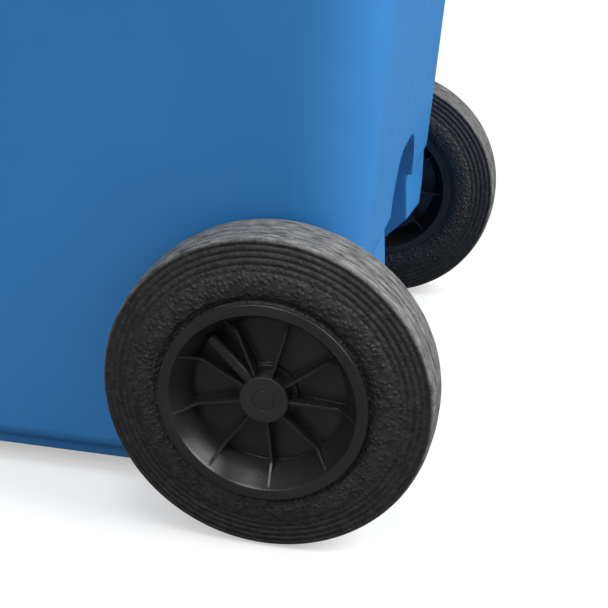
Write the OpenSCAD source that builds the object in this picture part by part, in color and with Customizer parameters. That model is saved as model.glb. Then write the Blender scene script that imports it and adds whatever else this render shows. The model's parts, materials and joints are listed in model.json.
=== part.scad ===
// Two-wheeled refuse bin, 120 litre class, in millimetres.
// Origin on the floor under the middle of the overall box. +Z up, front towards -Y, handles and wheels at +Y.

/* [Body] */
// Half width of the body outside at the base
base_half_w = 181.5; // [170:0.5:182]
// Growth of the half width for each mm of height
side_taper = 0.0455; // [0.03:0.0005:0.0465]
// Rear wall position at the base
base_rear = 140.3; // [130:0.1:145]
// Growth of the rear wall for each mm of height
rear_taper = 0.0625; // [0.04:0.0005:0.065]
// Front wall position at the base
base_front = 195; // [180:1:200]
// Growth of the front wall for each mm of height
front_taper = 0.064; // [0.04:0.001:0.066]
// Outside radius of the upright corners
corner_r = 46; // [40:1:70]
// Wall thickness
wall = 4; // [3:0.5:5]
// How far the plinth is set in from the wall
plinth_in = 10; // [6:1:12]
// Underside of the plinth
plinth_z = 12; // [8:1:16]
// Height of the top edge of the body
rim_z = 882; // [860:1:890]
// Half width of the open recess above the axle
recess_half = 53; // [45:1:60]
// Top of the open recess above the axle
recess_top = 197; // [180:1:200]
// Radius of the upper corners of the recess
recess_r = 38; // [20:1:45]
// Height of the small step on the rear of the axle housings
step_z = 157; // [150:1:165]
// Tilt of the slanted lower edge of the housings, rising to the middle
rise = 8.5; // [0:0.5:12]

/* [Lid and hinge] */
// Highest point of the lid
lid_top = 937; // [925:1:945]
// Half width of the lid
lid_half_w = 240; // [236:0.5:240]
// Lower edge of the lid skirt
skirt_z = 868; // [860:1:872]
// Lid wall thickness
lid_wall = 3.5; // [3:0.5:5]
// Radius of the shallow dome of the lid
dome_r = 1300; // [1000:50:2000]
// Hinge and grip axis, distance behind the origin
hinge_y = 253; // [250:1:253]
// Hinge axis height
hinge_z = 890; // [888:1:892]
// Hinge pin radius
pin_r = 5; // [4:0.5:6]
// Radius of the rear grips
grip_r = 14; // [12:0.5:16]

/* [Wheels] */
// Axle distance behind the origin
axle_y = 105; // [100:1:110]
// Axle radius
axle_r = 10; // [8:0.5:10]
// Tyre radius, equal to the axle height
tyre_r = 100; // [99:1:100]
// Tyre width
tyre_w = 46; // [40:1:46]
// Outer plane of the rim, half of the overall width
flange_x = 240; // [238:0.5:240]
// Number of ribs on each face of the rim
rib_count = 9; // [6:1:12]
// Thickness of each rib
rib_t = 1.5; // [1.2:0.1:2]

/* [Hidden] */
run = 0.05; // radial clearance of every running fit
far = 400; // reach of a cut that passes through everything
corner_steps = 20;
axle_z = tyre_r;
z0 = 20;
z1 = 880;
function hx(z) = base_half_w + side_taper * (z - z0);
function yr(z) = base_rear + rear_taper * (z - z0);
function yf(z) = -base_front - front_taper * (z - z0);

// plan of the top rim: half width, front, rear, corner radius
rim_plan = [231, -256, 200, 66];
rim_low = 862;
// front lifting bar
bar_half = 188;
bar_y = -264;
bar_low = 846;
bar_pitch = 54;
// small fitted parts of the body
plug_r = 11;
buffer_at = [120, -250.5];
buffer_r = 3.5;
seat_z = rim_z - 3;
// grip arms and lid arms along X
lug_r = 22;
lug_t = 8;
lug_x = [60, 168];
pin_start = 150;
pin_end = 190;
arm_x = 183;
arm_t = 10;
// plan of the lid
lid_front = -270;
lid_rear = 208;
lid_r = 68;
lid_mid = -31;
rear_skirt_z = 884;

// wheel, measured outward from the middle of the machine
tyre_out = flange_x - 3.3;
tyre_in = tyre_out - tyre_w;
rim_in = 193.5;
hub_in = 187;
hub_r = 18;
seat_r = 60;
seat_out = flange_x - 2.8;
disc_out = 219.2;
disc_in = 215.7;
cap_r = 14.6;
cap_back = 232.1;
cap_x = flange_x - 6.4;
axle_end = 231.8;
// latch inside the rim
latch_x = flange_x - 13;
latch_clock = -44.7;
latch_r = 1.85;
latch_bore = 2.6;
notch_r = 8.5;
boss_end = 47.5;

blue = [0.07, 0.28, 0.55];
black = [0.05, 0.05, 0.055];
grey = [0.55, 0.56, 0.58];

// ---------- helpers ----------
// side view pts, as [y, z], drawn out from xa to xb
module prism_x(pts, xa, xb) {
  translate([xa, 0, 0])
    rotate([90, 0, 90])
      linear_extrude(xb - xa)
        polygon(pts);
}

// outline of the body pulled in by t at height z, counter-clockwise seen from above
function ring(t, z) = [for (q = [0:3]) for (i = [0:corner_steps])
  let (sx = (q == 0 || q == 3) ? 1 : -1, rear = q < 2, a = 90 * (q + i / corner_steps))
    [sx * (hx(z) - corner_r) + (corner_r - t) * cos(a),
     (rear ? yr(z) - corner_r : yf(z) + corner_r) + (corner_r - t) * sin(a), z]];

// levels of a rounded lower edge of radius r that starts at height z, for a surface pulled in by t
function turned_edge(t, z, r) = [for (a = [75:-15:0]) [t + r * (1 - cos(a)), z + r * (1 - sin(a))]];

// solid through a list of [inset, height] levels
module skin(levels) {
  n = 4 * (corner_steps + 1);
  top = len(levels) - 1;
  polyhedron(
    points = [for (l = levels) for (p = ring(l[0], l[1])) p],
    faces = concat([[for (i = [0:n - 1]) i]], [[for (i = [0:n - 1]) top * n + n - 1 - i]],
      [for (k = [0:top - 1]) for (i = [0:n - 1])
        [k * n + i, (k + 1) * n + i, (k + 1) * n + (i + 1) % n, k * n + (i + 1) % n]]));
}

// rectangle from (xa, ya) to (xb, yb) with corners of radius r
module rounded(xa, xb, ya, yb, r) {
  translate([xa + r, ya])
    square([xb - xa - 2 * r, yb - ya]);
  translate([xa, ya + r])
    square([xb - xa, yb - ya - 2 * r]);
  for (x = [xa + r, xb - r])
    for (y = [ya + r, yb - r])
      translate([x, y])
        circle(r = r, $fn = 96);
}

// plan of the rim pulled in by t, from height za to zb
module rim_block(t, za, zb) {
  translate([0, 0, za])
    linear_extrude(zb - za)
      rounded(-rim_plan[0] + t, rim_plan[0] - t, rim_plan[1] + t, rim_plan[2] - t, rim_plan[3] - t);
}

// round bar along X from xa to xb, on the side given by s
module along_x(s, xa, xb, r, y, z) {
  translate([s > 0 ? xa : -xb, y, z])
    rotate([0, 90, 0])
      cylinder(r = r, h = xb - xa, $fn = 96);
}

// plate of side view pts from xa to xb, on the side given by s
module side_plate(s, pts, xa, xb) {
  prism_x(pts, s > 0 ? xa : -xb, s > 0 ? xb : -xa);
}

// turns a wheel part, drawn about +Z, onto the axle
module on_axle(side) {
  mirror([side < 0 ? 1 : 0, 0, 0])
    translate([0, axle_y, axle_z])
      rotate([0, 90, 0])
        children();
}

// ---------- body ----------
// open space under the sloping rear floor
module under_void(xa, xb) {
  prism_x([[62, -1], [62, 70], [118, 170], [130, 190], [134, 199], [300, 199], [300, -1]], xa, xb);
}

module arch() {
  flat = recess_half - recess_r;
  translate([0, 190, 0])
    rotate([90, 0, 0])
      linear_extrude(140) {
        translate([-recess_half, -10])
          square([2 * recess_half, recess_top - recess_r + 10]);
        translate([-flat, 0])
          square([2 * flat, recess_top]);
        for (s = [-1, 1])
          translate([s * flat, recess_top - recess_r])
            circle(r = recess_r, $fn = 96);
      }
}

// frame of the slanted lower edge of a housing: z is measured from the edge at the recess
module on_slant(s) {
  slant_z = 120;
  translate([s * recess_half, 0, slant_z])
    rotate([0, s * rise, 0])
      children();
}

module housing_hollow(s) {
  housing_wall = wall + 0.3;
  intersection() {
    under_void(-far, far);
    skin([[housing_wall, -2], [housing_wall, 190]]);
    on_slant(s)
      side_plate(s, [[0, -200], [103.5, -200], [103.5, -36.8], [141, 1], [141, 90], [0, 90]], wall, far);
  }
}

module shell() {
  pocket_front = 58;
  difference() {
    skin(concat([[plinth_in, plinth_z]], turned_edge(0, z0 - 1, 13), [[0, z1]]));
    // inside of the bin, with a floor that steps up over the axle
    difference() {
      skin(concat(turned_edge(wall, 25, 20), [[wall, rim_z + 20]]));
      prism_x([[57.5, -1], [57.5, 72], [114, 173], [126, 192], [129, 203], [300, 203], [300, -1]], -far, far);
    }
    // pocket inside the plinth, under the floor plate
    intersection() {
      skin([[plinth_in + wall, 5], [plinth_in + wall, z0]]);
      prism_x([[-far, 5], [pocket_front, 5], [pocket_front, z0], [-far, z0]], -far, far);
    }
    // lower rear edge of the housings
    for (s = [-1, 1])
      on_slant(s)
        side_plate(s, [[300, 154], [108, -38], [108, -200], [300, -200]], -20, far);
    // rear face of the housings below the step
    prism_x([[144.6, step_z], [147.4, 108], [300, 108], [300, step_z]], -far, far);
    intersection() {
      under_void(-recess_half, recess_half);
      arch();
    }
    housing_hollow(1);
    housing_hollow(-1);
  }
}

module rim() {
  difference() {
    union() {
      rim_block(0, rim_low, rim_z);
      // front lifting bar and its ribs
      translate([-bar_half, bar_y, bar_low])
        cube([2 * bar_half, 5, rim_z - bar_low - 4]);
      translate([-bar_half, bar_y, 870])
        cube([2 * bar_half, 20, 8]);
      for (i = [-3:3])
        translate([i * bar_pitch - 2, bar_y + 2, bar_low + 2])
          cube([4, 18, 26]);
    }
    rim_block(wall, rim_low - 4, rim_z - 5);
    rim_block(14.5, rim_low - 12, rim_z + 18);
  }
}

module grip_side(s) {
  difference() {
    union() {
      for (x = lug_x) {
        along_x(s, x, x + lug_t, lug_r, hinge_y, hinge_z);
        side_plate(s, [[190, 851], [190, 879], [209.5, 882.5], [238, 905], [hinge_y, hinge_z], [249, 870]],
          x, x + lug_t);
      }
      along_x(s, lug_x[0] + 6, lug_x[1] + 2, grip_r, hinge_y, hinge_z);
    }
    along_x(s, pin_start, far, pin_r, hinge_y, hinge_z);
  }
}

module feet() {
  for (s = [-1, 1])
    translate([s * 112, -168, 0])
      linear_extrude(z0)
        rounded(-32, 32, -14, 14, 8);
}

module body() {
  boss_r = 17;
  color(blue)
    difference() {
      union() {
        shell();
        rim();
        feet();
        for (s = [-1, 1]) {
          grip_side(s);
          along_x(s, recess_half + 1, base_half_w + 1.5, boss_r, axle_y, axle_z);
        }
      }
      along_x(1, -far, far, axle_r + run, axle_y, axle_z);
      // seats of the chip plug and of the lid buffers
      translate([0, bar_y - 1, 858])
        rotate([-90, 0, 0])
          cylinder(r = plug_r, h = 4.5, $fn = 64);
      for (s = [-1, 1])
        translate([s * buffer_at[0], buffer_at[1], seat_z])
          cylinder(r = buffer_r, h = 9, $fn = 48);
    }
}

// ---------- lid ----------
// block of the lid pulled in by t, from height za to zb, under the dome
module lid_block(t, za, zb) {
  intersection() {
    translate([0, 0, za])
      linear_extrude(zb - za)
        rounded(-lid_half_w + t, lid_half_w - t, lid_front + t, lid_rear - t, lid_r - t);
    translate([0, lid_mid, lid_top - t - dome_r])
      sphere(r = dome_r, $fn = 200);
  }
}

module lid_arm(s) {
  arm_r = 13;
  hull() {
    translate([s * arm_x - arm_t / 2, hinge_y, hinge_z])
      rotate([0, 90, 0])
        cylinder(r = arm_r, h = arm_t, $fn = 48);
    translate([s * arm_x - arm_t / 2, 196, 885.5])
      cube([arm_t, 8, 13]);
  }
}

module lid() {
  above = 960;
  rib_pitch = 120;
  color(blue)
    difference() {
      union() {
        difference() {
          lid_block(0, skirt_z, above);
          lid_block(lid_wall, skirt_z - 8, above);
          // rear skirt stops above the grip arms
          translate([-far, 186, skirt_z - 8])
            cube([2 * far, 60, rear_skirt_z - skirt_z + 8]);
        }
        // front grip lip
        translate([0, 0, skirt_z])
          linear_extrude(4)
            rounded(-75, 75, -275, -267, 3.5);
        for (s = [-1, 1])
          lid_arm(s);
        // cross ribs under the panel
        intersection() {
          for (i = [-1:1])
            translate([i * rib_pitch - 1.5, -258, rear_skirt_z])
              cube([3, 454, 60]);
          difference() {
            lid_block(1, rear_skirt_z, above);
            lid_block(12, skirt_z - 8, above);
          }
        }
      }
      along_x(1, -far, far, pin_r + run, hinge_y, hinge_z);
    }
}

module hinge_pin(s) {
  color(black) {
    along_x(s, pin_start, pin_end, pin_r, hinge_y, hinge_z);
    along_x(s, pin_end - 1, pin_end + 3, 8.5, hinge_y, hinge_z);
  }
}

module lid_buffer(s) {
  color(black)
    translate([s * buffer_at[0], buffer_at[1], seat_z])
      cylinder(r = buffer_r, h = 4.9, $fn = 48);
}

module chip_plug() {
  color(black)
    translate([0, bar_y - 0.6, 858])
      rotate([-90, 0, 0])
        cylinder(r = plug_r, h = 4.1, $fn = 64);
}

// ---------- running gear ----------
module axle() {
  notch = [latch_x - 2.2, latch_x + 2.2];
  color(grey)
    translate([0, axle_y, axle_z])
      rotate([0, 90, 0])
        rotate_extrude($fn = 96)
          polygon([[0, -axle_end], [9.2, -axle_end], [axle_r, 0.8 - axle_end],
            [axle_r, -notch[1]], [notch_r, -notch[1]], [notch_r, -notch[0]], [axle_r, -notch[0]],
            [axle_r, notch[0]], [notch_r, notch[0]], [notch_r, notch[1]], [axle_r, notch[1]],
            [axle_r, axle_end - 0.8], [9.2, axle_end], [0, axle_end]]);
}

// section of the rim without ribs, as [radius, distance from the middle of the machine]
module wheel_core() {
  rotate_extrude($fn = 180)
    polygon([[axle_r + run, hub_in], [hub_r, hub_in], [hub_r, disc_in], [46, disc_in], [52, 208],
      [55.6, rim_in], [62.3, rim_in], [62.3, rim_in + 2.8], [seat_r, rim_in + 2.8],
      [seat_r, seat_out], [62.3, seat_out], [62.3, flange_x], [55.8, flange_x], [54.5, 233],
      [52, 227], [49, 222], [46, disc_out], [hub_r, disc_out], [hub_r, 222], [cap_r, 222],
      [cap_r, cap_back], [12, cap_back], [12, 229], [axle_r + run, 229]]);
}

module ribs() {
  first = 180 + 24.7;
  for (i = [0:rib_count - 1])
    rotate([0, 0, first - 360 * i / rib_count])
      rotate([90, 0, 0])
        translate([0, 0, -rib_t / 2])
          linear_extrude(rib_t) {
            polygon([[14, 218], [14, 230.7], [43.7, 226.5], [55.4, 238.5], [57, 238.5], [57, 218]]);
            polygon([[17, 217], [17, 200], [50, 204], [57, 197], [57, 217]]);
          }
}

// bar along the latch, from radius ra to rb
module latch_bar(r, ra, rb) {
  translate([ra, 0, latch_x])
    rotate([0, 90, 0])
      cylinder(r = r, h = rb - ra, $fn = 48);
}

module rim_wheel(s) {
  color(black)
    on_axle(s)
      difference() {
        union() {
          wheel_core();
          ribs();
          rotate([0, 0, 180 - latch_clock]) {
            latch_bar(3.75, 12, boss_end);
            translate([14, -1.5, 218])
              cube([boss_end - 14, 3, 9]);
          }
        }
        translate([0, 0, hub_in - 1])
          cylinder(r = axle_r + run, h = 42, $fn = 96);
        rotate([0, 0, 180 - latch_clock]) {
          latch_bar(latch_r, 0, 30);
          latch_bar(latch_bore, 20, 50);
        }
      }
}

module tyre(s) {
  a = tyre_in;
  b = tyre_out;
  m = (a + b) / 2;
  color(black)
    on_axle(s)
      rotate_extrude($fn = 180)
        polygon([[seat_r, rim_in + 2.8], [67, rim_in + 2.8], [67, a + 0.6], [68.5, a], [74.5, a], [76, a + 1],
          [83.3, a + 1.2], [83.3, a + 2.4], [84.5, a + 2.4], [84.5, a + 1.3],
          [91, a + 1.6], [91, a + 2.8], [92.2, a + 2.8], [92.2, a + 1.7],
          [96.5, a + 3], [99, a + 6],
          [99.6, m - 9], [99, m - 8], [99, m - 6], [99.9, m - 5], [tyre_r, m], [99.9, m + 5],
          [99, m + 6], [99, m + 8], [99.6, m + 9], [99, b - 6], [96.5, b - 3],
          [95.8, b - 2.6], [95.8, b - 3.6], [94.6, b - 3.6], [94.6, b - 2.2],
          [92.1, b - 1.8], [92.1, b - 2.9], [90.9, b - 2.9], [90.9, b - 1.6],
          [88.4, b - 1.4], [88.4, b - 2.5], [87.2, b - 2.5], [87.2, b - 1.3],
          [84.5, b - 1.2], [84.5, b - 2.3], [83.3, b - 2.3], [83.3, b - 1.1],
          [76, b - 1], [74.5, b], [68.5, b], [67, b - 0.8], [67, seat_out - 4], [62.4, seat_out - 4],
          [62.4, seat_out], [seat_r, seat_out]]);
}

module hub_cap(s) {
  color(black)
    on_axle(s)
      rotate_extrude($fn = 96)
        polygon([[0, cap_back], [10.4, cap_back], [10.4, 229.3], [12, 229.3], [12, cap_back],
          [cap_r, cap_back], [cap_r, cap_x - 0.6], [14, cap_x], [6.8, cap_x], [6.5, cap_x - 0.3],
          [6.2, cap_x], [0, cap_x]]);
}

// turns a latch part, drawn about +Z, onto the line of the latch
module latch(s) {
  on_axle(s)
    rotate([0, 0, 180 - latch_clock])
      translate([0, 0, latch_x])
        rotate([0, 90, 0])
          children();
}

module latch_pin(s) {
  color(grey)
    latch(s)
      rotate_extrude($fn = 64)
        polygon([[0, 8.8], [1.4, 8.8], [1.8, 9.4], [1.8, 20.1], [2.45, 20.1], [2.45, 22.1], [1.2, 22.1],
          [1.2, 34], [0, 34]]);
}

module latch_spring(s) {
  coil_pitch = 2.3;
  color(grey)
    latch(s)
      for (i = [0:8])
        translate([0, 0, 22.6 + i * coil_pitch])
          rotate_extrude($fn = 48)
            translate([1.95, 0])
              circle(r = 0.35, $fn = 16);
}

module latch_plug(s) {
  color(black)
    latch(s)
      translate([0, 0, boss_end - 5.5])
        cylinder(r = latch_bore, h = 6, $fn = 48);
}

body();
lid();
hinge_pin(-1);  // hinge_pin_left
hinge_pin(1);  // hinge_pin_right
lid_buffer(-1);  // lid_buffer_left
lid_buffer(1);  // lid_buffer_right
chip_plug();
axle();
rim_wheel(-1);  // rim_left
rim_wheel(1);  // rim_right
tyre(-1);  // tyre_left
tyre(1);  // tyre_right
hub_cap(-1);  // hub_cap_left
hub_cap(1);  // hub_cap_right
latch_pin(-1);  // latch_pin_left
latch_pin(1);  // latch_pin_right
latch_spring(-1);  // latch_spring_left
latch_spring(1);  // latch_spring_right
latch_plug(-1);  // latch_plug_left
latch_plug(1);  // latch_plug_right
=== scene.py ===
"""Looks of a two-wheeled refuse bin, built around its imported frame.

Everything is in metres in the row frame: +Z up, front towards -Y, wheels and grips at +Y, lid closed.
"""
import json
import math

import bmesh
import bpy
from mathutils import Matrix, Vector


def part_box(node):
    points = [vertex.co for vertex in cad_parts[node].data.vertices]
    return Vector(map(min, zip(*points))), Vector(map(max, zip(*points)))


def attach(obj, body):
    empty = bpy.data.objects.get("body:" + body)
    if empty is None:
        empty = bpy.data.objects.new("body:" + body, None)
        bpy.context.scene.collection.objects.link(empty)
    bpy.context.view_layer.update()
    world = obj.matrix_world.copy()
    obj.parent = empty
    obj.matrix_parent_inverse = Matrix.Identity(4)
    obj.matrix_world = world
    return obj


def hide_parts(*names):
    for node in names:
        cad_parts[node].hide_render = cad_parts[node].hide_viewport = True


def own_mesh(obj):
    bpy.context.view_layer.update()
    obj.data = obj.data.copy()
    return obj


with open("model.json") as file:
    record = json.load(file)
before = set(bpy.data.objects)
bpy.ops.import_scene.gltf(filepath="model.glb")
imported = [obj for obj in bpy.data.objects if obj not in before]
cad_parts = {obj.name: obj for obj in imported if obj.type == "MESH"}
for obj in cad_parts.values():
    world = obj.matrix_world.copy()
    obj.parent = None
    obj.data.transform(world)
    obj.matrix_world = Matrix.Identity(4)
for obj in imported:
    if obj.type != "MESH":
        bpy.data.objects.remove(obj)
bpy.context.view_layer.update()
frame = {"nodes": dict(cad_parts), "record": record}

MM = 0.001
NODES = frame["nodes"]

# ---------- places read from the frame ----------
# Clock angles turn about the axle: 0 is up, positive towards the rear.
AXLE_LOW, AXLE_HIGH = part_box("axle")
AXLE_Y = (AXLE_LOW.y + AXLE_HIGH.y) / 2
AXLE_Z = (AXLE_LOW.z + AXLE_HIGH.z) / 2
RIM_LOW, RIM_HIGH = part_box("rim_right")
FLANGE_X = RIM_HIGH.x  # outer plane of the rim's flange
HUB_STANDS_OUT = 6.5 * MM  # how far the hub reaches in past the rim's inner edge
RIM_IN = RIM_LOW.x + HUB_STANDS_OUT
TYRE_LOW, TYRE_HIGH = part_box("tyre_right")
TYRE_R = (TYRE_HIGH.z - TYRE_LOW.z) / 2
TYRE_WIDTH = 46 * MM
TYRE_OUT = TYRE_HIGH.x - 0.5 * MM
TYRE_IN = TYRE_OUT - TYRE_WIDTH
LATCH_CLOCK = math.radians(-44.7)
LATCH_X = FLANGE_X - 13 * MM
LATCH_ALONG = Vector((0, math.sin(LATCH_CLOCK), math.cos(LATCH_CLOCK)))
LATCH_ACROSS = Vector((0, math.cos(LATCH_CLOCK), -math.sin(LATCH_CLOCK)))


# ---------- mesh helpers ----------
def new_object(name, data):
    """An object in the scene from a mesh, a light or a camera."""
    obj = bpy.data.objects.new(name, data)
    bpy.context.scene.collection.objects.link(obj)
    return obj


def to_object(name, bm, sharp_deg=32):
    """A mesh object from bm, smooth except across edges sharper than sharp_deg."""
    bmesh.ops.recalc_face_normals(bm, faces=bm.faces)
    mesh = bpy.data.meshes.new(name)
    bm.to_mesh(mesh)
    bm.free()
    obj = new_object(name, mesh)
    shade(obj, sharp_deg)
    return obj


def shade(obj, sharp_deg):
    """Smooth shading that breaks at edges sharper than sharp_deg."""
    mesh = obj.data
    if mesh.attributes.get("custom_normal"):
        mesh.attributes.remove(mesh.attributes["custom_normal"])
    mesh.shade_smooth()
    mesh.set_sharp_from_angle(angle=math.radians(sharp_deg))


def keep_flats_flat(obj):
    """Shading normals follow the larger faces, so that wide flat walls don't look pillowed."""
    fix = obj.modifiers.new("flats", "WEIGHTED_NORMAL")
    fix.keep_sharp = True
    fix.weight = 50


def filleted(points, radii, steps=4):
    """A closed outline with each corner rounded by an arc of its own radius."""
    out = []
    count = len(points)
    for i, (point, radius) in enumerate(zip(points, radii)):
        here = Vector(point)
        if radius <= 0:
            out.append(here)
            continue
        before = Vector(points[i - 1]) - here
        after = Vector(points[(i + 1) % count]) - here
        half = before.angle(after) / 2
        reach = min(radius / math.tan(half), before.length * 0.48, after.length * 0.48)
        radius = reach * math.tan(half)
        bisector = (before.normalized() + after.normalized()).normalized()
        centre = here + bisector * (radius / math.sin(half))
        start = here + before.normalized() * reach - centre
        turn = start.angle_signed(here + after.normalized() * reach - centre)
        for k in range(steps + 1):
            a = -turn * k / steps
            c, s = math.cos(a), math.sin(a)
            out.append(centre + Vector((start.x * c - start.y * s, start.x * s + start.y * c)))
    return out


def on_wheel(radius, clock, x):
    """A point at a radius and a clock angle about the axle."""
    return Vector((x, AXLE_Y + radius * math.sin(clock), AXLE_Z + radius * math.cos(clock)))


def lathe(bm, outline, turns):
    """Turns a closed outline of (radius, x) about the axle."""
    rings = []
    for t in range(turns):
        clock = 2 * math.pi * t / turns
        rings.append([bm.verts.new(on_wheel(p[0], clock, p[1])) for p in outline])
    for t in range(turns):
        a, b = rings[t], rings[(t + 1) % turns]
        for i in range(len(outline)):
            j = (i + 1) % len(outline)
            bm.faces.new((a[i], a[j], b[j], b[i]))


def plate(bm, outline, place, half):
    """A flat plate: outline of (u, v) through place(u, v, w) for w from -half to half."""
    low = [bm.verts.new(place(p[0], p[1], -half)) for p in outline]
    high = [bm.verts.new(place(p[0], p[1], half)) for p in outline]
    bm.faces.new(low)
    bm.faces.new(list(reversed(high)))
    for i in range(len(outline)):
        j = (i + 1) % len(outline)
        bm.faces.new((low[j], low[i], high[i], high[j]))


def join_rings(bm, rings):
    """Walls between one ring of vertices and the next, with both ends closed."""
    count = len(rings[0])
    for a, b in zip(rings, rings[1:]):
        for i in range(count):
            j = (i + 1) % count
            bm.faces.new((a[i], a[j], b[j], b[i]))
    bm.faces.new(list(reversed(rings[0])))
    bm.faces.new(rings[-1])


def mirror_x(bm):
    """Turns a piece made for the right side into one for the left."""
    for v in bm.verts:
        v.co.x = -v.co.x
    bmesh.ops.reverse_faces(bm, faces=bm.faces)


# ---------- materials ----------
class Nodes:
    """Small helper to write a node material in a few lines."""

    def __init__(self, name):
        self.material = bpy.data.materials.new(name)
        self.material.use_nodes = True
        self.tree = self.material.node_tree
        self.tree.nodes.clear()
        self.out = self.add("ShaderNodeOutputMaterial")
        self.shader = self.add("ShaderNodeBsdfPrincipled")
        self.link(self.shader, "BSDF", self.out, "Surface")
        self.place = self.add("ShaderNodeTexCoord")

    def add(self, kind, **values):
        node = self.tree.nodes.new(kind)
        for key, value in values.items():
            if key in node.inputs:
                node.inputs[key].default_value = value
            else:
                setattr(node, key, value)
        return node

    def link(self, a, a_out, b, b_in):
        self.tree.links.new(a.outputs[a_out], b.inputs[b_in])

    def set(self, **values):
        for key, value in values.items():
            self.shader.inputs[key.replace("_", " ")].default_value = value

    def noise(self, scale, detail=3.0, rough=0.5):
        node = self.add("ShaderNodeTexNoise", Scale=scale, Detail=detail, Roughness=rough)
        self.link(self.place, "Object", node, "Vector")
        return node

    def cells(self, scale):
        node = self.add("ShaderNodeTexVoronoi", Scale=scale)
        self.link(self.place, "Object", node, "Vector")
        return node

    def ramp(self, source, output, low, high, to_low=0.0, to_high=1.0):
        node = self.add("ShaderNodeMapRange")
        node.clamp = True
        node.inputs["From Min"].default_value = low
        node.inputs["From Max"].default_value = high
        node.inputs["To Min"].default_value = to_low
        node.inputs["To Max"].default_value = to_high
        self.link(source, output, node, "Value")
        return node

    def math(self, operation, a, b):
        node = self.add("ShaderNodeMath", operation=operation)
        for k, term in enumerate((a, b)):
            if isinstance(term, (int, float)):
                node.inputs[k].default_value = term
            else:
                self.tree.links.new(term[0].outputs[term[1]], node.inputs[k])
        return node

    def blend(self, factor, a, b):
        """Mixes two colours, each a colour or a (node, output), by a (node, output) or a number."""
        node = self.add("ShaderNodeMix", data_type="RGBA")
        for k, term in ((0, factor), (6, a), (7, b)):
            if isinstance(term, tuple) and isinstance(term[0], bpy.types.Node):
                self.tree.links.new(term[0].outputs[term[1]], node.inputs[k])
            else:
                node.inputs[k].default_value = term
        return node, 2

    def bump(self, heights, normal=None):
        """heights: (node, output, strength, distance in metres) from coarse to fine."""
        last = normal
        for source, output, strength, distance in heights:
            node = self.add("ShaderNodeBump", Strength=strength, Distance=distance)
            self.link(source, output, node, "Height")
            if last is not None:
                self.link(last, "Normal", node, "Normal")
            last = node
        self.link(last, "Normal", self.shader, "Normal")

    def paint(self, colour):
        """Connects a blended colour to the shader."""
        self.tree.links.new(colour[0].outputs[colour[1]], self.shader.inputs["Base Color"])

    def dust(self, scale, low, high):
        """Small scattered flecks, as a mask."""
        fleck = self.ramp(self.cells(scale), "Distance", 0.0, 0.13, 1.0, 0.0)
        where = self.ramp(self.noise(scale / 3, 2.0), "Fac", low, high)
        return self.math("MULTIPLY", (fleck, "Result"), (where, "Result"))

    def around_noise(self, across, around):
        """Noise drawn out into streaks that run round the axle."""
        move = self.add("ShaderNodeVectorMath", operation="SUBTRACT")
        move.inputs[1].default_value = (0, AXLE_Y, AXLE_Z)
        self.link(self.place, "Object", move, 0)
        parts = self.add("ShaderNodeSeparateXYZ")
        self.link(move, "Vector", parts, "Vector")
        angle = self.math("ARCTAN2", (parts, "Y"), (parts, "Z"))
        joined = self.add("ShaderNodeCombineXYZ")
        self.link(self.math("MULTIPLY", (parts, "X"), across), "Value", joined, "X")
        self.link(self.math("MULTIPLY", (angle, "Value"), around), "Value", joined, "Y")
        node = self.add("ShaderNodeTexNoise", Scale=1.0, Detail=4.0, Roughness=0.6)
        self.link(joined, "Vector", node, "Vector")
        return node

    def axle_radius(self):
        """Distance from the axle's axis, in metres."""
        move = self.add("ShaderNodeVectorMath", operation="SUBTRACT")
        move.inputs[1].default_value = (0, AXLE_Y, AXLE_Z)
        self.link(self.place, "Object", move, 0)
        flat = self.add("ShaderNodeVectorMath", operation="MULTIPLY")
        flat.inputs[1].default_value = (0, 1, 1)
        self.link(move, "Vector", flat, 0)
        length = self.add("ShaderNodeVectorMath", operation="LENGTH")
        self.link(flat, "Vector", length, 0)
        return length, "Value"


def tub_plastic():
    """Satin blue polyethylene with a fine moulded grain, faint flow marks and a few pale specks."""
    n = Nodes("tub_plastic")
    broad = n.ramp(n.noise(5.0, 2.0), "Fac", 0.35, 0.65)
    base = n.blend((broad, "Result"), (0.022, 0.186, 0.485, 1), (0.026, 0.200, 0.512, 1))
    specks = n.cells(230.0)
    speck = n.ramp(specks, "Distance", 0.0, 0.10, 1.0, 0.0)
    chance = n.add("ShaderNodeSeparateColor")
    n.link(specks, "Color", chance, "Color")
    rare = n.ramp(chance, "Red", 0.975, 0.98)
    mask = n.math("MULTIPLY", (speck, "Result"), (rare, "Result"))
    colour = n.blend((mask, "Value"), base, (0.10, 0.32, 0.62, 1))
    scuff = n.ramp(n.noise(9.0, 5.0, 0.7), "Fac", 0.60, 0.72, 0.0, 0.10)
    colour = n.blend((scuff, "Result"), colour, (0.09, 0.27, 0.56, 1))
    n.paint(colour)
    rough = n.ramp(n.noise(60.0, 4.0), "Fac", 0.3, 0.7, 0.36, 0.46)
    n.link(rough, "Result", n.shader, "Roughness")
    n.set(IOR=1.5)
    edge = n.add("ShaderNodeBevel", samples=4, Radius=3.0 * MM)
    waves = (n.noise(30.0, 2.0), "Fac", 0.04, 1 * MM)
    grain = (n.noise(1400.0, 2.0), "Fac", 0.10, 0.1 * MM)
    n.bump([waves, grain], edge)
    return n.material


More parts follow.
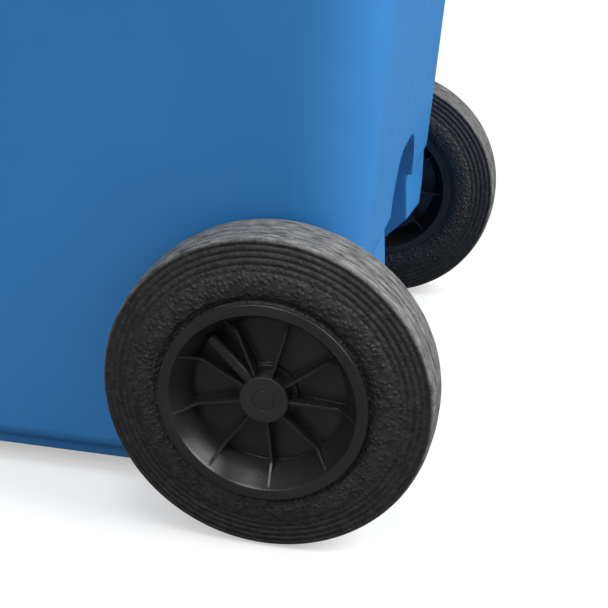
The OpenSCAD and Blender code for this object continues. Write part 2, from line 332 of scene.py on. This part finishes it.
def wheel_plastic():
    """Black moulded polypropylene, half gloss, with a little dust."""
    n = Nodes("wheel_plastic")
    mottle = n.ramp(n.noise(30.0, 3.0), "Fac", 0.3, 0.7)
    base = n.blend((mottle, "Result"), (0.013, 0.013, 0.0135, 1), (0.019, 0.019, 0.0195, 1))
    n.paint(n.blend((n.dust(420.0, 0.60, 0.64), "Value"), base, (0.10, 0.10, 0.10, 1)))
    n.link(n.ramp(n.noise(120.0, 3.0), "Fac", 0.3, 0.7, 0.26, 0.34), "Result", n.shader, "Roughness")
    n.set(IOR=1.56)
    edge = n.add("ShaderNodeBevel", samples=4, Radius=0.5 * MM)
    waves = (n.noise(160.0, 2.0), "Fac", 0.06, 0.2 * MM)
    grain = (n.noise(1800.0, 2.0), "Fac", 0.10, 0.1 * MM)
    n.bump([waves, grain], edge)
    return n.material


def tyre_rubber():
    """Recycled rubber: granular belly, smoother grooves and a scuffed grey tread."""
    n = Nodes("tyre_rubber")
    radius, value = n.axle_radius()
    tread = n.ramp(radius, value, TYRE_R - 3.0 * MM, TYRE_R - 1.2 * MM)
    belly = n.ramp(radius, value, 86 * MM, 76 * MM, 0.35, 1.0)
    mottle = n.ramp(n.noise(230.0, 4.0, 0.65), "Fac", 0.38, 0.68)
    side = n.blend((mottle, "Result"), (0.011, 0.011, 0.0115, 1), (0.030, 0.030, 0.0305, 1))
    streak = n.around_noise(620.0, 9.0)
    worn_mix = n.ramp(streak, "Fac", 0.36, 0.66)
    worn = n.blend((worn_mix, "Result"), (0.036, 0.036, 0.036, 1), (0.225, 0.222, 0.216, 1))
    colour = n.blend((tread, "Result"), side, worn)
    n.paint(n.blend((n.dust(430.0, 0.55, 0.62), "Value"), colour, (0.20, 0.20, 0.20, 1)))
    n.link(n.ramp(n.noise(300.0, 3.0), "Fac", 0.3, 0.7, 0.38, 0.62), "Result", n.shader, "Roughness")
    n.set(IOR=1.5)
    cells = n.ramp(n.cells(330.0), "Distance", 0.0, 0.55, 1.0, 0.0)
    lump = n.math("MULTIPLY", (cells, "Result"), (belly, "Result"))
    grain = n.noise(620.0, 4.0, 0.7)
    n.bump([(lump, "Value", 1.0, 0.9 * MM), (grain, "Fac", 0.9, 0.8 * MM)])
    return n.material


def plated_steel():
    """Zinc-plated steel, slightly uneven."""
    n = Nodes("plated_steel")
    mottle = n.ramp(n.noise(90.0, 3.0), "Fac", 0.3, 0.7)
    n.paint(n.blend((mottle, "Result"), (0.42, 0.43, 0.45, 1), (0.58, 0.59, 0.60, 1)))
    n.link(n.ramp(n.noise(300.0, 3.0), "Fac", 0.3, 0.7, 0.28, 0.42), "Result", n.shader, "Roughness")
    n.set(Metallic=1.0)
    n.bump([(n.noise(1200.0, 2.0), "Fac", 0.08, 0.1 * MM)])
    return n.material


def black_plastic():
    """Black moulded plastic with a satin face."""
    n = Nodes("black_plastic")
    mottle = n.ramp(n.noise(40.0, 3.0), "Fac", 0.3, 0.7)
    n.paint(n.blend((mottle, "Result"), (0.016, 0.016, 0.0165, 1), (0.021, 0.021, 0.0215, 1)))
    n.link(n.ramp(n.noise(150.0, 3.0), "Fac", 0.3, 0.7, 0.42, 0.52), "Result", n.shader, "Roughness")
    n.bump([(n.noise(1500.0, 2.0), "Fac", 0.12, 0.1 * MM)])
    return n.material


def soft_rubber():
    """Matt black rubber of the small buffers."""
    n = Nodes("soft_rubber")
    mottle = n.ramp(n.noise(80.0, 3.0), "Fac", 0.3, 0.7)
    n.paint(n.blend((mottle, "Result"), (0.018, 0.018, 0.018, 1), (0.030, 0.030, 0.030, 1)))
    n.set(Roughness=0.75)
    n.bump([(n.noise(900.0, 3.0), "Fac", 0.3, 0.2 * MM)])
    return n.material


def floor_paint():
    """Pale to the camera, darker to bounced light and reflections, so that the bin keeps its contrast.

    It turns to plain white away from the bin, like the world behind it.
    """
    n = Nodes("floor_paint")
    mottle = n.ramp(n.noise(3.0, 2.0), "Fac", 0.3, 0.7)
    near = n.blend((mottle, "Result"), (0.50, 0.50, 0.50, 1), (0.52, 0.52, 0.52, 1))
    fade_from, fade_to = 0.7, 2.4
    length = n.add("ShaderNodeVectorMath", operation="LENGTH")
    n.link(n.place, "Object", length, 0)
    away = n.ramp(length, "Value", fade_from, fade_to)
    pale = n.blend((away, "Result"), near, (0, 0, 0, 1))
    glow = n.ramp(length, "Value", fade_from, fade_to, 0.45, 1.0)
    path = n.add("ShaderNodeLightPath")
    seen = n.blend((path, "Is Camera Ray"), (0.28, 0.28, 0.28, 1), pale)
    n.paint(n.blend((path, "Is Glossy Ray"), seen, (0.10, 0.10, 0.10, 1)))
    n.set(Roughness=1.0, Specular_IOR_Level=0.0, Emission_Color=(1, 1, 1, 1))
    shown = n.math("MULTIPLY", (path, "Is Camera Ray"), (glow, "Result"))
    n.link(shown, "Value", n.shader, "Emission Strength")
    return n.material


FINISH = {
    "tub_plastic": tub_plastic(),
    "black_plastic": black_plastic(),
    "wheel_plastic": wheel_plastic(),
    "tyre_rubber": tyre_rubber(),
    "soft_rubber": soft_rubber(),
    "plated_steel": plated_steel(),
}


def wear(obj, slot_name):
    """Gives obj the finish of a material slot of the record."""
    obj.data.materials.clear()
    obj.data.materials.append(FINISH[slot_name])
    return obj


# ---------- wheels ----------
# Steps round the axle
TYRE_TURNS, RIM_TURNS, CAP_TURNS = 240, 192, 96
# Sidewall of the tyre, in mm: the belly is a hump round BELLY_R, the shoulder slopes off from SHOULDER_R,
# and the bead is sunk inside BEAD_R.
BELLY_R, BELLY_HALF, BELLY_HEIGHT = 71.5, 8.5, 2.0
SHOULDER_R, SHOULDER_SLOPE = 82.0, 0.14
BEAD_R, BEAD_DEPTH, BEAD_SLOPE = 66.0, 1.3, 0.38
GROOVES = (83.9, 87.8, 91.5, 95.2)
GROOVE_HALF, GROOVE_DEPTH = 1.9, 0.8
SIDE_FROM, SIDE_TO, SIDE_STEP = 62.7, 97.0, 0.42
# Tread of the tyre: distances from its middle, in mm
TREAD_EDGE = ((97.5, 18.7), (98.4, 17.6), (98.95, 16.2), (99.25, 14.4))
TREAD_GROOVES = (11.0, 3.8)
SEAT_R = 60.1


def sidewall_depth(r):
    """How far a side face of the tyre lies in from its outermost plane, both in mm."""
    hump = max(0.0, 1 - ((r - BELLY_R) / BELLY_HALF) ** 2)
    depth = BELLY_HEIGHT * (1 - hump ** 0.8) if hump else BELLY_HEIGHT
    depth += SHOULDER_SLOPE * max(0.0, r - SHOULDER_R)
    for groove in GROOVES:
        near = max(0.0, 1 - abs(r - groove) / GROOVE_HALF)
        depth += GROOVE_DEPTH * near ** 2.0
    if r < BEAD_R:
        depth = max(depth, BEAD_DEPTH + BEAD_SLOPE * (BEAD_R - r))
    return depth


def tread_groove(at):
    """Shallow groove round the tread, as (radius, distance from the middle) in mm."""
    rim_to_floor = ((99.55, 1.4), (99.5, 0.8), (98.7, 0.35), (98.7, -0.35), (99.6, -0.8))
    return [(r, at + off) for r, off in rim_to_floor]


def tyre_outline():
    """Section of the tyre as (radius, x): humped belly, four grooves and a shallow-grooved tread."""
    middle = (TYRE_IN + TYRE_OUT) / 2
    half = (TYRE_OUT - TYRE_IN) / 2
    seat_in = 3.0 * MM
    side = []
    r = SIDE_FROM
    while r < SIDE_TO:
        side.append((r, half / MM - sidewall_depth(r)))
        r += SIDE_STEP
    side += TREAD_EDGE
    tread = []
    for at in TREAD_GROOVES:
        tread += tread_groove(at)
    tread.append((TYRE_R / MM, 1.2))
    outer_half = [(r * MM, middle + x * MM) for r, x in side + tread]
    inner_half = [(r * MM, middle - x * MM) for r, x in reversed(side + tread)]
    seat_outer = (SEAT_R * MM, FLANGE_X - seat_in)
    seat_inner = (SEAT_R * MM, RIM_IN + seat_in)
    return [Vector(p) for p in [seat_outer] + outer_half + inner_half + [seat_inner]]


def make_tyre(side, name):
    """Solid tyre, turned round the axle."""
    bm = bmesh.new()
    lathe(bm, tyre_outline(), TYRE_TURNS)
    if side < 0:
        mirror_x(bm)
    return wear(to_object(name, bm, 50), "tyre_rubber")


# Raised boss of the latch, and the web that carries it on the disc
BOSS_R = 3.75 * MM
FOOT_HALF = 1.5 * MM
# Rim and cap, in mm: radii, and depths in from the outer plane of the flange
FLANGE_R = 62.3
DISC_R, DISC_DEPTH = 46.0, 20.8
COLLAR_R = 18.0
CAP_R = 14.6
RIB_COUNT = 9
RIB_FIRST_DEG = -24.7
RIB_HALF = 0.8
DISH_WALL = ((54.9, 2.0), (52.9, 5.6), (50.6, 9.8), (48.7, 13.8), (47.2, 17.6))


def rim_outline():
    """Section of the rim as (radius, x), with its corners rounded."""
    points, radii = [], []

    def corner(r_mm, depth_mm, fillet_mm=0.0):
        points.append((r_mm * MM, FLANGE_X - depth_mm * MM))
        radii.append(fillet_mm * MM)

    width = (FLANGE_X - RIM_IN) / MM
    corner(FLANGE_R, 0, 0.5)
    corner(55.9, 0, 0.7)
    for r, depth in DISH_WALL:
        corner(r, depth)
    corner(DISC_R, DISC_DEPTH, 0.4)
    corner(44.6, 20.4, 0.4)
    corner(COLLAR_R, 20.4, 0.5)
    corner(COLLAR_R, 17.4, 0.5)
    corner(14.0, 17.4, 0)
    corner(14.0, 7.95, 0)
    corner(12, 7.95, 0)
    corner(12, 11, 0)
    corner(10.05, 11, 0)
    corner(10.05, 53, 0.5)
    corner(COLLAR_R, 53, 0.8)
    corner(COLLAR_R, 24.3, 1.5)
    corner(DISC_R, 24.3, 2.0)
    corner(52, 32, 2.0)
    corner(55.6, width, 0.6)
    corner(FLANGE_R, width, 0.5)
    corner(FLANGE_R, width - 2.8, 0.3)
    corner(60, width - 2.8, 0.3)
    corner(60, 2.8, 0.3)
    corner(FLANGE_R, 2.8, 0.3)
    return filleted(points, radii, 3)


def rib_outline(inner_side):
    """Side view of one rib as (radius, x), on the outer or the inner face of the disc."""
    if inner_side:
        corners = [(17, 23), (17, 40), (50, 36), (57, 43), (57, 23)]
        radii = [0, 1, 8, 0.5, 0]
    else:
        corners = [(13.5, 21.5), (13.5, 9.2), (43.7, 13.5), (55.4, 1.5), (57.5, 1.5), (57.5, 21.5)]
        radii = [0, 0.5, 5, 0.5, 0, 0]
    points = [(r * MM, FLANGE_X - d * MM) for r, d in corners]
    return filleted(points, [r * MM for r in radii], 4)


def radial_tube(bm, clock, x, radius, start, end, segments=32, end_fillet=0.6 * MM):
    """A round bar that runs outward from the axle, with a rounded outer end."""
    along = Vector((0, math.sin(clock), math.cos(clock)))
    across = Vector((0, math.cos(clock), -math.sin(clock)))
    centre = Vector((x, AXLE_Y, AXLE_Z))
    rings = []
    levels = [(start, radius), (end - end_fillet, radius)]
    for k in (1, 2, 3):
        a = math.pi / 2 * k / 3
        reach = end - end_fillet * (1 - math.sin(a))
        levels.append((reach, radius - end_fillet * (1 - math.cos(a))))
    for s, r in levels:
        ring = []
        for i in range(segments):
            a = 2 * math.pi * i / segments
            sideways = across * (r * math.cos(a)) + Vector((r * math.sin(a), 0, 0))
            ring.append(bm.verts.new(centre + along * s + sideways))
        rings.append(ring)
    join_rings(bm, rings)


def make_rim(side, name):
    """Rim with ribs on both faces of its disc, and the raised boss that holds the latch."""
    bm = bmesh.new()
    lathe(bm, rim_outline(), RIM_TURNS)
    for k in range(RIB_COUNT):
        clock = math.radians(RIB_FIRST_DEG + 360 / RIB_COUNT * k)
        turned = Vector((0, math.cos(clock), -math.sin(clock)))

        def on_rib(r, x, w, clock=clock, turned=turned):
            return on_wheel(r, clock, x) + turned * w

        plate(bm, rib_outline(False), on_rib, RIB_HALF * MM)
        plate(bm, rib_outline(True), on_rib, RIB_HALF * MM)
    radial_tube(bm, LATCH_CLOCK, LATCH_X, BOSS_R, 12 * MM, 47.5 * MM)

    def under_boss(r, x, w):
        return on_wheel(r, LATCH_CLOCK, x) + LATCH_ACROSS * w

    near, far, deep = 14 * MM, 47 * MM, LATCH_X - 9 * MM
    foot = [(near, LATCH_X), (far, LATCH_X), (far, deep), (near, deep)]
    plate(bm, foot, under_boss, FOOT_HALF)
    if side < 0:
        mirror_x(bm)
    return wear(to_object(name, bm, 40), "wheel_plastic")


def make_cap(side, name):
    """Hub cap: a flat disc with a shallow ring groove, and a skirt that snaps into the rim."""
    depth = (FLANGE_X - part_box("hub_cap_right")[1].x) / MM
    back = 7.9
    groove = depth + 0.35
    snap = [(10.5, back), (10.5, 10.7), (12, 10.7), (12, back)]
    face = [(CAP_R, back), (CAP_R, depth), (6.9, depth), (6.7, groove), (6.3, groove), (6.1, depth)]
    corners = [(0.01, back)] + snap + face + [(0.01, depth)]
    radii = [0, 0, 0, 0, 0, 0.15, 0.9, 0.15, 0.1, 0.1, 0.15, 0]
    bm = bmesh.new()
    points = [(r * MM, FLANGE_X - d * MM) for r, d in corners]
    lathe(bm, filleted(points, [r * MM for r in radii], 4), CAP_TURNS)
    bmesh.ops.remove_doubles(bm, verts=bm.verts, dist=0.02 * MM)
    if side < 0:
        mirror_x(bm)
    return wear(to_object(name, bm, 40), "black_plastic")


def make_wheels():
    """Tyre, rim and cap of both wheels, in place of their CAD nodes."""
    for side, hand in ((-1, "left"), (1, "right")):
        body = "wheel_" + hand
        for maker, node in ((make_tyre, "tyre_"), (make_rim, "rim_"), (make_cap, "hub_cap_")):
            piece = maker(side, node + hand + "_look")
            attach(piece, body)
            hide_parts(node + hand)


# Latch spring: its ends are distances from the axle's axis
SPRING_LOW = 22.6 * MM
SPRING_HIGH = 41.0 * MM
COIL_R = 1.95 * MM
WIRE_R = 0.33 * MM
SPRING_TURNS = 8


def make_spring(side, name):
    """Coil spring along the line of the latch."""
    per_turn, around = 24, 8
    steps = SPRING_TURNS * per_turn
    pitch = (SPRING_HIGH - SPRING_LOW) / SPRING_TURNS
    out_x = Vector((1, 0, 0))
    bm = bmesh.new()
    rings = []
    for k in range(steps + 1):
        a = 2 * math.pi * k / per_turn
        away = LATCH_ACROSS * math.cos(a) + out_x * math.sin(a)
        reach = SPRING_LOW + pitch * k / per_turn
        centre = on_wheel(reach, LATCH_CLOCK, LATCH_X) + away * COIL_R
        ring = []
        for i in range(around):
            b = 2 * math.pi * i / around
            wire = away * math.cos(b) + LATCH_ALONG * math.sin(b)
            ring.append(bm.verts.new(centre + wire * WIRE_R))
        rings.append(ring)
    join_rings(bm, rings)
    if side < 0:
        mirror_x(bm)
    return wear(to_object(name, bm, 60), "plated_steel")


def make_springs():
    """Latch springs of both wheels, each with a mesh of its own, in place of their CAD nodes; on the bin
    they shorten towards their plugs as the latch pins slide outward.
    """
    for side, hand in ((-1, "left"), (1, "right")):
        spring = make_spring(side, "latch_spring_" + hand + "_look")
        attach(spring, "wheel_" + hand)
        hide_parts("latch_spring_" + hand)
        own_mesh(spring)


# ---------- body, lid and small parts, from their CAD solids ----------
def refined_copy(node, name, slot_name, sharp_deg=25):
    """A copy of a CAD node with its flat regions joined into single faces."""
    bm = bmesh.new()
    bm.from_mesh(NODES[node].data)
    bmesh.ops.remove_doubles(bm, verts=bm.verts, dist=0.005 * MM)
    bmesh.ops.dissolve_limit(bm, angle_limit=math.radians(0.5), verts=bm.verts, edges=bm.edges)
    obj = to_object(name, bm, sharp_deg)
    keep_flats_flat(obj)
    return wear(obj, slot_name)


def make_body():
    """The blue tub, riding on its own body of the frame."""
    obj = refined_copy("body", "body_look", "tub_plastic")
    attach(obj, "tub")
    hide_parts("body")


def make_lid():
    """The blue lid, which swings with its hinge."""
    obj = refined_copy("lid", "lid_look", "tub_plastic")
    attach(obj, "lid")
    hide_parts("lid")


def dress_cad_nodes():
    """Finish for the small parts that keep their CAD meshes: pins, buffers, plugs, axle."""
    slots = {s["node"]: s["material_slot"] for s in frame["record"]["subparts"]}
    for node, obj in NODES.items():
        if not obj.hide_render:
            shade(obj, 30)
            wear(obj, slots[node])


# ---------- stage ----------
def lamp(name, place, target, size, power):
    """A round softbox that points at target."""
    data = bpy.data.lights.new(name, "AREA")
    data.shape = "DISK"
    data.size = size
    data.energy = power
    obj = new_object(name, data)
    obj.location = place
    obj.rotation_mode = "QUATERNION"
    obj.rotation_quaternion = (Vector(target) - Vector(place)).to_track_quat("-Z", "Y")


def make_stage():
    """Pale floor, pale world and four softboxes: behind, right, front and above."""
    bm = bmesh.new()
    bmesh.ops.create_grid(bm, x_segments=8, y_segments=8, size=6.0)
    floor = to_object("floor", bm)
    floor.data.materials.append(floor_paint())
    make_world()
    lamp("key", (-0.05, 2.3, 1.9), (0.15, 0.1, 0.15), 2.3, 116)
    lamp("side", (2.6, -0.8, 2.7), (0.1, 0.0, 0.3), 2.0, 38)
    lamp("top", (1.1, 0.1, 3.0), (0.2, 0.1, 0.1), 1.2, 34)
    lamp("front", (-1.2, -2.6, 2.2), (0.0, 0.0, 0.5), 2.0, 40)


def make_world():
    """White to the camera, softer to the light, and darker in reflections."""
    world = bpy.data.worlds.new("studio")
    bpy.context.scene.world = world
    world.use_nodes = True
    tree = world.node_tree
    back = tree.nodes["Background"]
    back.inputs["Color"].default_value = (1, 1, 1, 1)
    path = tree.nodes.new("ShaderNodeLightPath")
    lit, in_reflections, seen = 0.42, 0.14, 1.0

    def choose(ray, value):
        """A mix that gives value to one kind of ray."""
        mix = tree.nodes.new("ShaderNodeMix")
        mix.data_type = "FLOAT"
        mix.inputs[3].default_value = value
        tree.links.new(path.outputs[ray], mix.inputs[0])
        return mix

    glossy = choose("Is Glossy Ray", in_reflections)
    glossy.inputs[2].default_value = lit
    camera = choose("Is Camera Ray", seen)
    tree.links.new(glossy.outputs[0], camera.inputs[2])
    tree.links.new(camera.outputs[0], back.inputs["Strength"])


def make_camera():
    """Close view of the lower rear corner, from the right and above."""
    data = bpy.data.cameras.new("view")
    data.sensor_width = 36
    data.lens = 72.93
    data.clip_start = 0.01
    obj = new_object("view", data)
    away = Vector((0.8515, 0.1536, 0.3277))
    look = Vector((-0.902, -0.191, -0.386)).normalized()
    right = Vector((-0.216, 0.976, 0.021)).normalized()
    up = right.cross(look).normalized()
    right = look.cross(up).normalized()
    place = Vector((0, AXLE_Y, AXLE_Z)) + away
    rows = Matrix((right, up, -look)).transposed()
    obj.matrix_world = Matrix.Translation(place) @ rows.to_4x4()
    bpy.context.scene.camera = obj


make_wheels()
make_springs()
make_body()
make_lid()
dress_cad_nodes()
make_stage()
make_camera()
bpy.context.scene.view_settings.view_transform = "Standard"
